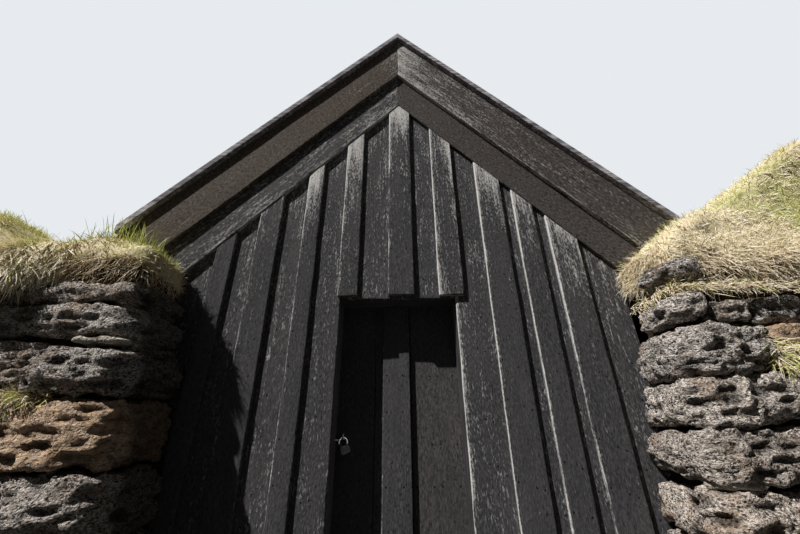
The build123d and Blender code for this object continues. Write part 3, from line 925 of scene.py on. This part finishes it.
# turf: the roof, the tops of the walls and their front edges as one grown-together body
turfLook = {
    "weld": 0.0005,
    "voxel": 0.053,
    "smoothing": 3,
    "lumps": 0.030,
    "tufts": 0.014,
    "sunk": 0.004,
    "rightSunk": 0.022,
    "unevenFrom": (-0.25, 0.10),
    "bulgeForward": 0.13,
    "bulgeLeftShare": 0.1,
    "bulgeOut": 0.045,
    "bulgeUp": 0.02,
    "farLeftUp": 0.11,
    "awayFromDoor": 0.045,
    "curtainFront": -0.44,
    "curtainSlope": 0.14,
    "curtainHang": 0.12,
    "frontFrom": -0.36,
    "lipDrawnIn": 0.035,
    "lipRagged": 0.03,
    "lipFootDown": 0.012,
    "lipFootRagged": 0.02,
    "soil": (0.060, 0.040, 0.022, 1.0),
    "soilDark": (0.020, 0.014, 0.009, 1.0),
    "straw": (0.60, 0.50, 0.31, 1.0),
    "strawPale": (0.90, 0.81, 0.58, 1.0),
    "green": (0.24, 0.29, 0.055, 1.0),
    "greenPale": (0.52, 0.56, 0.15, 1.0),
}
turfNodes = ["left_front_turf", "right_front_turf", "left_wall_turf", "right_wall_turf",
             "left_roof_turf", "right_roof_turf", "back_gable_turf"]

# boxes that hold parts of the turf, as ranges of x, y, z and out, which is how far a place is from
# the middle to either side; 9 stands for no limit
turfBoxes = {
    "underCaps": dict(out=(-9, 1.98), y=(-0.10, 0.16)),
    "rightFront": dict(x=(0, 9), y=(-9, 0.5)),
    "front": dict(out=(1.20, 9), y=(-9, 0.55), z=(-9, 3.2)),
    "wall": dict(out=(1.80, 9), y=(0.55, 9), z=(-9, 3.2)),
    "roofMiddle": dict(out=(-9, 1.80), y=(0.14, 9)),
    "roofTop": dict(y=(0.14, 9), z=(3.2, 9)),
    "nearBoards": dict(out=(-9, 1.96), y=(-0.07, 0.14)),
    "onReturns": dict(out=(-9, 1.56), y=(-9, -0.005), z=(-9, 2.08)),
    "inDoorway": dict(out=(-9, 1.70), z=(-9, 1.80)),
    "baredStone": dict(x=(1.54, 1.68), y=(-9, -0.22), z=(-9, 1.94)),
    "aboveStone": dict(x=(1.54, 1.68), y=(-9, -0.22)),
    "thinLeft": dict(x=(-9, -1.98), y=(-9, -0.42), z=(-9, 2.0)),
    "fringe": dict(y=(-9, -0.30), z=(-9, 1.96)),
    "leftFringe": dict(x=(-9, -1.88), y=(-9, -0.34), z=(-9, 2.12)),
    "fringeEnds": dict(y=(-0.36, 0), z=(-9, 2.06)),
    "curtain": dict(x=(-2.60, -1.88), y=(-9, -0.38), z=(-9, 2.12)),
    "underBarge": dict(x=(-2.02, -1.50), y=(-0.36, -0.12)),
}
# where changes of the turf's shape set in: from no effect to full effect along each range
turfFades = {
    "bulge": dict(out=(2.25, 2.70), y=(0.25, -0.05)),
    "bulgeRight": dict(z=(2.15, 2.65)),
    "bulgeLeft": dict(z=(2.08, 2.28)),
    "farLeft": dict(x=(-2.10, -2.42), y=(0.6, 0.2), z=(2.0, 2.15)),
    "nearDoor": dict(x=(1.80, 1.60), y=(0.0, -0.06), z=(2.25, 2.10)),
    "curtain": dict(x=(-1.90, -2.04), y=(-0.37, -0.42), z=(2.22, 2.12)),
    "hanging": dict(z=(2.12, 1.84)),
    "lip": dict(z=(2.02, 1.90)),
    "lipFoot": dict(z=(1.95, 1.85)),
}


def rangesOf(points, ranges):
    # pairs of the places' values along an axis and its range
    x, y, z = points.T
    values = {"x": x, "y": y, "z": z, "out": np.abs(x)}
    return [(values[key], limits) for key, limits in ranges.items()]


def within(points, *names):
    # whether each place is in one of these boxes
    inside = np.zeros(len(points), bool)
    for name in names:
        tests = [(value > low) & (value < high) for value, (low, high) in rangesOf(points, turfBoxes[name])]
        inside |= np.all(tests, axis=0)
    return inside


def fade(points, name):
    return math.prod(ramp(value, *limits) for value, limits in rangesOf(points, turfFades[name]))


def makeTurfMaterial():
    look = turfLook
    material, tree = newMaterial("turf")
    place = objectPlace(tree)
    facing = addNode(tree, "SeparateXYZ", {0: addNode(tree, "NewGeometry").outputs["Normal"]}).outputs["Z"]
    broad = noiseOf(tree, place, 2.2, 4.0, 0.6)
    clump = noiseOf(tree, place, 14.0, 4.0, 0.65)
    fibre = noiseOf(tree, place, (60, 60, 22), 4.0, 0.7, 0.8)
    soil = coats(tree, look["soilDark"], (fibre, 0.35, 0.65, 1.0, look["soil"]))
    straw = coats(tree, look["straw"], (fibre, 0.35, 0.68, 1.0, look["strawPale"]))
    green = coats(tree, look["green"], (fibre, 0.35, 0.68, 1.0, look["greenPale"]))
    grass = coats(tree, straw, (broad, 0.47, 0.66, 0.75, green), (clump, 0.42, 0.28, 0.6, soil))
    onTop = weigh(tree, (facing, 1.0), (clump, 0.3))
    colour = coats(tree, soil, (onTop, -0.10, 0.25, 1.0, grass))
    return finishMaterial(material, colour, 0.95, 0.1, weigh(tree, (clump, 1.0), (fibre, 0.5)), 0.015)


def shapeTurf(points, normals):
    # uneven all over, then drawn out, lifted and let hang where the photograph shows it
    look = turfLook
    free = ramp(normals[:, 2], *look["unevenFrom"]) * ~within(points, "underCaps")
    height = look["lumps"] * roughNoise(points * 2.4, 31, 3) + look["tufts"] * roughNoise(points * 11, 47, 2)
    height -= look["sunk"] + look["rightSunk"] * within(points, "rightFront")
    points = points + normals * (height * free)[:, None]
    x, y, z = points.T

    bulge = fade(points, "bulge") * np.where(x > 0, fade(points, "bulgeRight"), fade(points, "bulgeLeft"))
    bulge *= np.where(x > 0, 1.0, look["bulgeLeftShare"])
    y -= look["bulgeForward"] * bulge
    x += look["bulgeOut"] * bulge * np.sign(x)
    z += look["bulgeUp"] * bulge
    z += look["farLeftUp"] * fade(points, "farLeft")
    x += look["awayFromDoor"] * fade(points, "nearDoor") * (x > 0)

    front = y < look["frontFrom"]
    curtain, hanging = fade(points, "curtain"), fade(points, "hanging")
    y += curtain * (look["curtainFront"] - look["curtainSlope"] * hanging - y)
    z -= look["curtainHang"] * hanging ** 2 * curtain
    lip = fade(points, "lip") * front * (1 - curtain)
    y += lip * (look["lipDrawnIn"] + look["lipRagged"] * roughNoise(points * 5, 61, 2))
    foot = look["lipFootRagged"] * roughNoise(points * 4, 63, 2) - look["lipFootDown"]
    z += lip * fade(points, "lipFoot") * foot
    return points


def makeTurf(material):
    look = turfLook
    gathered, faces, count = [], [], 0
    for nodeName in turfNodes:
        mesh = nodes[nodeName].data
        gathered.append(vectorsOf(mesh.vertices, "co"))
        faces += [[i + count for i in polygon.vertices] for polygon in mesh.polygons]
        count += len(mesh.vertices)
    piece = makeObject("turfBody", np.concatenate(gathered), faces, material)
    piece.modifiers.new("weld", "WELD").merge_threshold = look["weld"]
    remesh = piece.modifiers.new("remesh", "REMESH")
    remesh.mode = "VOXEL"
    remesh.voxel_size = look["voxel"]
    soften = piece.modifiers.new("soften", "SMOOTH")
    soften.iterations = look["smoothing"]
    soften.factor = 0.5
    piece.data = bpy.data.meshes.new_from_object(piece.evaluated_get(bpy.context.evaluated_depsgraph_get()))
    piece.modifiers.clear()
    mesh = piece.data
    mesh.name = "turfBody"
    points = shapeTurf(vectorsOf(mesh.vertices, "co"), vectorsOf(mesh.vertices, "normal"))
    mesh.vertices.foreach_set("co", points.ravel())
    mesh.polygons.foreach_set("use_smooth", [True] * len(mesh.polygons))
    mesh.materials.clear()
    mesh.materials.append(material)
    mesh.update()
    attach(piece, "house")
    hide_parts(*turfNodes)
    print("turf done:", len(mesh.polygons), "faces")
    return piece


# grass: many narrow blades, each a strip that narrows and bends over
grassLook = {
    "straw": (0.86, 0.74, 0.52, 1),
    "strawPale": (1.0, 0.96, 0.82, 1),
    "green": (0.40, 0.48, 0.08, 1),
    "greenPale": (0.80, 0.85, 0.30, 1),
    "root": (0.44, 0.34, 0.20, 1),
    "dead": (0.38, 0.235, 0.095, 1),
    "lowest": (-2.94, -0.655, 0.0),
    "highest": (2.94, 5.775, 9.0),
}


class Ground:
    # the turf's surface, for picking places to grow on

    def __init__(self, piece):
        mesh = piece.data
        mesh.calc_loop_triangles()
        corners = np.empty(len(mesh.loop_triangles) * 3, np.int64)
        mesh.loop_triangles.foreach_get("vertices", corners)
        self.corners = vectorsOf(mesh.vertices, "co")[corners.reshape(-1, 3)]
        a, b, c = self.corners.transpose(1, 0, 2)
        cross = np.cross(b - a, c - a)
        length = np.linalg.norm(cross, axis=1)
        self.area, self.normal = length / 2, cross / (length[:, None] + 1e-12)
        self.middle = self.corners.mean(axis=1)

    def pick(self, rng, count, allowed):
        # allowed(p, n) gives how thickly it grows at each place p, whose outward direction is n
        weight = self.area * allowed(self.middle, self.normal)
        chosen = rng.choice(len(weight), count, p=weight / weight.sum())
        u, v = rng.random(count), rng.random(count)
        over = u + v > 1
        u, v = np.where(over, 1 - u, u), np.where(over, 1 - v, v)
        a, b, c = self.corners[chosen].transpose(1, 0, 2)
        return a + (b - a) * u[:, None] + (c - a) * v[:, None], self.normal[chosen]


def growBlades(heap, rng, roots, normals, lean, length, width, bend, colour, rows, dead=0.0):
    # roots and lean are places and directions, bend is how far the tip falls over
    count = len(roots)
    lean = lean / (np.linalg.norm(lean, axis=1)[:, None] + 1e-9)
    flat = np.cross(lean, normals + (-0.25, -0.2, 0.35) + rng.normal(size=(count, 3)) * 0.35)
    flat /= np.linalg.norm(flat, axis=1)[:, None] + 1e-9
    fall = rng.normal(size=(count, 3)) * 0.5
    fall[:, 2] = -1.0
    perBlade = rows * 2 + 1
    points = np.empty((count, perBlade, 3))
    for row in range(rows + 1):
        t = row / rows
        centre = roots + lean * (length * t)[:, None] + fall * (bend * length * t * t)[:, None]
        if row == rows:
            points[:, -1] = centre
        else:
            half = flat * (width * (1 - 0.5 * t) / 2)[:, None]
            points[:, row * 2], points[:, row * 2 + 1] = centre - half, centre + half
    start = np.arange(count)[:, None] * perBlade
    faces = []
    for row in range(rows - 1):
        faces += (start + np.array([0, 1, 3, 2]) + row * 2).tolist()
    faces += (start + np.array([0, 1, 2]) + (rows - 1) * 2).tolist()
    along = np.tile(np.concatenate([np.repeat(np.arange(rows) / rows, 2), [1.0]]), count)
    points = np.clip(points, grassLook["lowest"], grassLook["highest"])
    heap.add(
        points.reshape(-1, 3), faces, green=np.repeat(colour, perBlade), along=along,
        shade=np.repeat(rng.random(count), perBlade), dead=np.repeat(rng.random(count) * dead, perBlade),
    )


def makeGrassMaterial():
    look = grassLook
    material, tree = newMaterial("grass")
    green, along, shade, dead = (readAttribute(tree, name) for name in ("green", "along", "shade", "dead"))
    straw = mixColour(tree, shade, look["straw"], look["strawPale"])
    fresh = mixColour(tree, shade, look["green"], look["greenPale"])
    colour = mixColour(tree, dead, mixColour(tree, green, straw, fresh), look["dead"])
    mottle = noiseOf(tree, objectPlace(tree), 60.0, 2.0)
    colour = coats(tree, colour, (along, 0.35, 0.0, 0.4, look["root"]),
                   (mottle, 0.58, 0.75, 0.2, look["root"]))
    return finishMaterial(material, colour, 0.75, 0.12)


# where turf grows, and how: layers of number of blades, length, width, bend, how green,
# and how they lean (out from the turf, up, down)
grassPlaces = {"front": ["front"], "wall": ["wall"], "roof": ["roofMiddle", "roofTop"]}
grassLayers = {
    "front": [
        dict(count=22500, length=(0.025, 0.07), width=0.0046, bend=0.3, green=0.18,
             lean=(0.34, 0.10, 0.08), rows=2),
        dict(count=6500, length=(0.03, 0.10), width=0.0038, bend=0.3, green=0.75,
             lean=(0.7, 0.8, 0.0), rows=3),
    ],
    "wall": [
        dict(count=10000, length=(0.07, 0.15), width=0.012, bend=0.35, green=0.20,
             lean=(0.6, 0.2, 0.3), rows=2),
        dict(count=5500, length=(0.09, 0.20), width=0.009, bend=0.4, green=0.70,
             lean=(0.8, 0.5, 0.0), rows=2),
    ],
    "roof": [
        dict(count=13000, length=(0.07, 0.15), width=0.016, bend=0.4, green=0.25,
             lean=(0.6, 0.1, 0.4), rows=2),
        dict(count=9000, length=(0.08, 0.18), width=0.012, bend=0.45, green=0.75,
             lean=(0.8, 0.5, 0.0), rows=2),
    ],
}
grassSides = {
    "left": dict(side=-1, moreGreen=0.20, topGreen=0.85),
    "right": dict(side=1, moreGreen=-0.34, topGreen=0.0),
}
deadShares = {"front": 0.0, "wall": 0.55, "roof": 0.55}
# how every layer varies
grassHabit = {
    "clumps": 7.0,
    "sparsest": 0.2,
    "thinLeft": 0.15,
    "swirl": 0.5,
    "tousled": 0.85,
    "greenPatches": 0.5,
    "leastGreen": 0.55,
    "widths": (0.6, 1.25),
    "bends": (0.4, 1.5),
    "rooted": 0.008,
}


def growLayer(heap, ground, layer, number, placeName, side, moreGreen, topGreen):
    rng = np.random.default_rng(number)
    habit = grassHabit

    def allowed(p, n):
        grows = within(p, *grassPlaces[placeName]) & (p[:, 0] * side > 0) & (n[:, 2] > -0.3)
        grows &= ~within(p, "nearBoards") | within(p, "onReturns") & (np.abs(n[:, 0]) > 0.4)
        clump = np.clip(0.9 + roughNoise(p * habit["clumps"], number, 2), habit["sparsest"], None)
        clump = clump * np.where(within(p, "thinLeft"), habit["thinLeft"], 1.0)
        return grows * ~within(p, "inDoorway", "baredStone") * clump
    roots, normals = ground.pick(rng, layer["count"], allowed)
    out, up, down = layer["lean"]
    count = len(roots)
    downhill = normals * normals[:, 2:] - np.array([0, 0, 1.0])
    swirl = np.stack([roughNoise(roots * 3.3, number + k, 2) for k in (1, 2, 3)], -1)
    lean = normals * out + downhill * down + np.array([0, 0, up]) + swirl * habit["swirl"]
    lean = lean + rng.normal(size=roots.shape) * habit["tousled"]
    length = rng.uniform(*layer["length"], count)
    patch = layer["green"] + moreGreen + habit["greenPatches"] * roughNoise(roots * 2.1, 77, 2)
    patch += topGreen * np.clip((normals[:, 2] - 0.4) * 3, 0, 1)
    colour = (rng.random(count) < patch) * rng.uniform(habit["leastGreen"], 1.0, count)
    colour = colour * np.clip(normals[:, 2] * 2.5, 0.25, 1)
    width = layer["width"] * rng.uniform(*habit["widths"], count)
    bend = layer["bend"] * rng.uniform(*habit["bends"], count)
    dead = 1.1 * np.clip(roughNoise(roots * 4.7, 91, 2) - 0.12, 0, 0.6) + deadShares[placeName]
    roots = roots - normals * habit["rooted"]
    growBlades(heap, rng, roots, normals, lean, length, width, bend, colour, layer["rows"], dead)


def makeGrass(turf):
    ground = Ground(turf)
    material = makeGrassMaterial()
    number = 300
    for placeName, layers in grassLayers.items():
        for sideName, sideLook in grassSides.items():
            heap = Heap()
            for layer in layers:
                number += 1
                growLayer(heap, ground, layer, number, placeName, **sideLook)
            if placeName == "front":
                growFringe(heap, ground, sideLook["side"], number)
                growExtras(heap, ground, sideName, number)
            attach(heap.piece(sideName + placeName.capitalize() + "Grass", material, "turf"), "house")
    print("grass done")


# dead grass and roots that hang over the uppermost stones
fringeLook = dict(count=5000, length=(0.03, 0.13), width=0.0040, bend=0.25, green=0.05)


def growFringe(heap, ground, side, number):
    look = fringeLook
    rng = np.random.default_rng(number + 40)

    def allowed(p, n):
        hangs = within(p, "fringe") & (n[:, 2] < 0.4) | within(p, "leftFringe")
        hangs |= within(p, "fringeEnds") & (np.abs(n[:, 0]) > 0.5)
        thick = np.clip(0.5 + roughNoise(p * (6, 6, 2), number, 2), 0.05, None)
        return (p[:, 0] * side > 0) * hangs * ~within(p, "aboveStone") * thick
    roots, normals = ground.pick(rng, look["count"], allowed)
    count = len(roots)
    lean = normals * 0.45 + rng.normal(size=roots.shape) * 0.5 + np.array([0, -0.25, -0.6])
    length = rng.uniform(*look["length"], count) * rng.uniform(0.5, 1.0, count)
    length *= 1 + 1.2 * ramp(roots[:, 0], -1.85, -2.15)
    width = look["width"] * rng.uniform(0.6, 1.2, count)
    colour = (rng.random(count) < look["green"]) * 0.8
    dead = np.where(roots[:, 0] < -1.9, 0.0, np.where(roots[:, 0] > 0, 0.6, 1.0))
    growBlades(heap, rng, roots, normals, lean, length, width, np.full(count, look["bend"]), colour, 3, dead)


# tufts in the wall's joints, and on the left blades that hang down and tall green ones below the barge
jointTufts = {
    "left": [dict(s=(0.75, 1.10), z=(1.19, 1.225), count=420, length=(0.04, 0.13), green=0.45)],
    "right": [dict(s=(0.84, 1.01), z=(1.27, 1.42), count=420, length=(0.05, 0.14), green=0.55),
              dict(s=(0.10, 1.10), z=(1.715, 1.77), count=1300, length=(0.02, 0.07), green=0.12)],
}
curtainBlades = dict(count=2600, length=(0.06, 0.13), width=0.0075, bend=(0.05, 0.3), rows=3,
                     out=0.12, ruffled=0.20, lean=(-0.08, 0.0, -0.9), green=0.08, shade=0.8)
tallBlades = dict(count=150, length=(0.09, 0.24), width=0.0042, bend=(0.05, 0.25), rows=4,
                  out=0.0, ruffled=0.22, lean=(0.05, -0.1, 1.0), green=None, shade=1.0)


def growTuft(heap, rng, wall, tuft):
    count = tuft["count"]
    middle = np.array([np.mean(tuft["s"]), np.mean(tuft["z"])])
    reach = np.array([np.ptp(tuft["s"]), np.ptp(tuft["z"])]) / 3.2
    s, z = middle[:, None] + rng.normal(size=(2, count)) * reach[:, None]
    roots = wall(s, np.full(count, -0.01), z)
    lean = rng.normal(size=(count, 3)) * 0.55 + (0.0, -0.8, -0.05)
    length = rng.uniform(*tuft["length"], count)
    colour = (rng.random(count) < tuft["green"]) * 0.9
    bend = rng.uniform(0.2, 0.6, count)
    normals = np.tile((0.0, -1.0, 0.3), (count, 1))
    growBlades(heap, rng, roots, normals, lean, length, np.full(count, 0.0042), bend, colour, 3, 0.5)


def growPatch(heap, ground, rng, look, allowed):
    roots, normals = ground.pick(rng, look["count"], allowed)
    count = len(roots)
    lean = normals * look["out"] + rng.normal(size=(count, 3)) * look["ruffled"] + look["lean"]
    length, bend = (rng.uniform(*look[key], count) for key in ("length", "bend"))
    colour = np.full(count, look["shade"])
    if look["green"] is not None:
        colour = colour * (rng.random(count) < look["green"])
    width = np.full(count, look["width"])
    growBlades(heap, rng, roots, normals, lean, length, width, bend, colour, look["rows"])


def growExtras(heap, ground, name, number):
    rng = np.random.default_rng(number + 60)
    wall = endWall(**wallEnds[name])
    for tuft in jointTufts[name]:
        growTuft(heap, rng, wall, tuft)
    if name == "left":
        growPatch(heap, ground, rng, curtainBlades, lambda p, n: within(p, "curtain") & (n[:, 1] < -0.3))
        growPatch(heap, ground, rng, tallBlades, lambda p, n: within(p, "underBarge") & (n[:, 2] > 0.2))


# timbers that are seen less: their grain runs along one axis
timberLook = {
    "frame": dict(dark=(0.018, 0.0165, 0.017, 1), pale=(0.055, 0.053, 0.056, 1), worn=(0.20, 0.19, 0.20, 1),
                  bare=0.15),
    "inner": dict(dark=(0.095, 0.058, 0.033, 1), pale=(0.23, 0.155, 0.092, 1), worn=(0.33, 0.27, 0.20, 1),
                  bare=0.5),
    "cap": dict(dark=(0.085, 0.078, 0.088, 1), pale=(0.30, 0.285, 0.31, 1), worn=(0.66, 0.63, 0.66, 1),
                bare=0.85),
}


def makeTimberMaterial(kind, axis):
    look = timberLook[kind]
    material, tree = newMaterial(kind + "Timber" + axis)
    place = objectPlace(tree)
    stretch = tuple(3.0 if name == axis else 48.0 for name in "XYZ")
    streak = noiseOf(tree, place, stretch, 5.0, 0.62, 0.3)
    fine = noiseOf(tree, place, tuple(6 * v for v in stretch), 3.0, 0.6)
    blotch = noiseOf(tree, place, 7.0, 4.0, 0.65)
    bare = weigh(tree, (streak, 0.8), (blotch, 0.7))
    colour = coats(tree, look["dark"], (streak, 0.32, 0.68, 1.0, look["pale"]),
                   (bare, 0.72, 0.95, look["bare"], look["worn"]), (fine, 0.60, 0.80, 0.5, look["dark"]))
    return finishMaterial(material, colour, 0.85, 0.12, weigh(tree, (streak, 1.0), (fine, 0.4)), 0.003, 0.8)


# ironwork; the lock's bow is bright and its body dark
ironLook = dict(dark=(0.035, 0.033, 0.032, 1), bright=(0.30, 0.29, 0.28, 1), rust=(0.13, 0.055, 0.025, 1),
                steel=(0.75, 0.74, 0.72, 1), metal=0.75, bowFrom=0.62)


def makeIronMaterial(name, bright, rusty, brightAbove=None):
    look = ironLook
    material, tree = newMaterial(name)
    place = objectPlace(tree)
    worn = noiseOf(tree, place, 60.0, 4.0, 0.65)
    rust = noiseOf(tree, place, 34.0, 5.0, 0.7)
    colour = coats(tree, look["dark"], (worn, 0.35, 0.65, bright, look["bright"]),
                   (rust, 0.50, 0.62, rusty, look["rust"]))
    if brightAbove is not None:
        height = addNode(tree, "SeparateXYZ", {0: place}).outputs["Z"]
        colour = coats(tree, colour, (height, brightAbove - 0.002, brightAbove + 0.002, 1.0, look["steel"]))
    tree.nodes["Principled BSDF"].inputs["Metallic"].default_value = look["metal"]
    return finishMaterial(material, colour, remap(tree, rust, 0.45, 0.6, 0.38, 0.75), 0.5, rust, 0.0015, 0.5)


def dress(nodeName, material):
    mesh = nodes[nodeName].data
    mesh.materials.clear()
    mesh.materials.append(material)


def dressOtherNodes():
    frameX, frameY, frameZ = (makeTimberMaterial("frame", axis) for axis in "XYZ")
    innerX, innerY = (makeTimberMaterial("inner", axis) for axis in "XY")
    cap = makeTimberMaterial("cap", "X")
    iron = makeIronMaterial("blackIron", 0.35, 0.8)
    stapleIron = makeIronMaterial("stapleIron", 1.0, 0.3)
    low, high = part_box("padlock")
    lockIron = makeIronMaterial("lockIron", 0.0, 0.1, low.z + ironLook["bowFrom"] * (high.z - low.z))
    kinds = {"padlock": lockIron, "staple": stapleIron, "pintle": iron, "strap": iron, "cap": cap}
    innerWords = ("rafter", "collar", "tie_beam", "plate", "roof_board", "ledge")
    for nodeName, node in nodes.items():
        if node.hide_render:
            continue
        low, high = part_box(nodeName)
        size = high - low
        named = [material for word, material in kinds.items() if word in nodeName]
        if named:
            dress(nodeName, named[0])
        elif any(word in nodeName for word in innerWords):
            dress(nodeName, innerY if size.y > size.x else innerX)
        elif size.z > max(size.x, size.y):
            dress(nodeName, frameZ)
        else:
            dress(nodeName, frameX if size.x > size.y else frameY)


addCamera()
addLights()
addFloor()
tarredWood = makeTarredWood()
makeGableBoards(tarredWood)
makeBarges(tarredWood)
stone, earth = makeStoneMaterial(), makeEarthMaterial()
makeWallEnds(stone, earth)
makeOtherWalls(stone, earth)
makeGrass(makeTurf(makeTurfMaterial()))
makeDoor(tarredWood)
dressOtherNodes()

bpy.context.scene.view_settings.view_transform = "Standard"
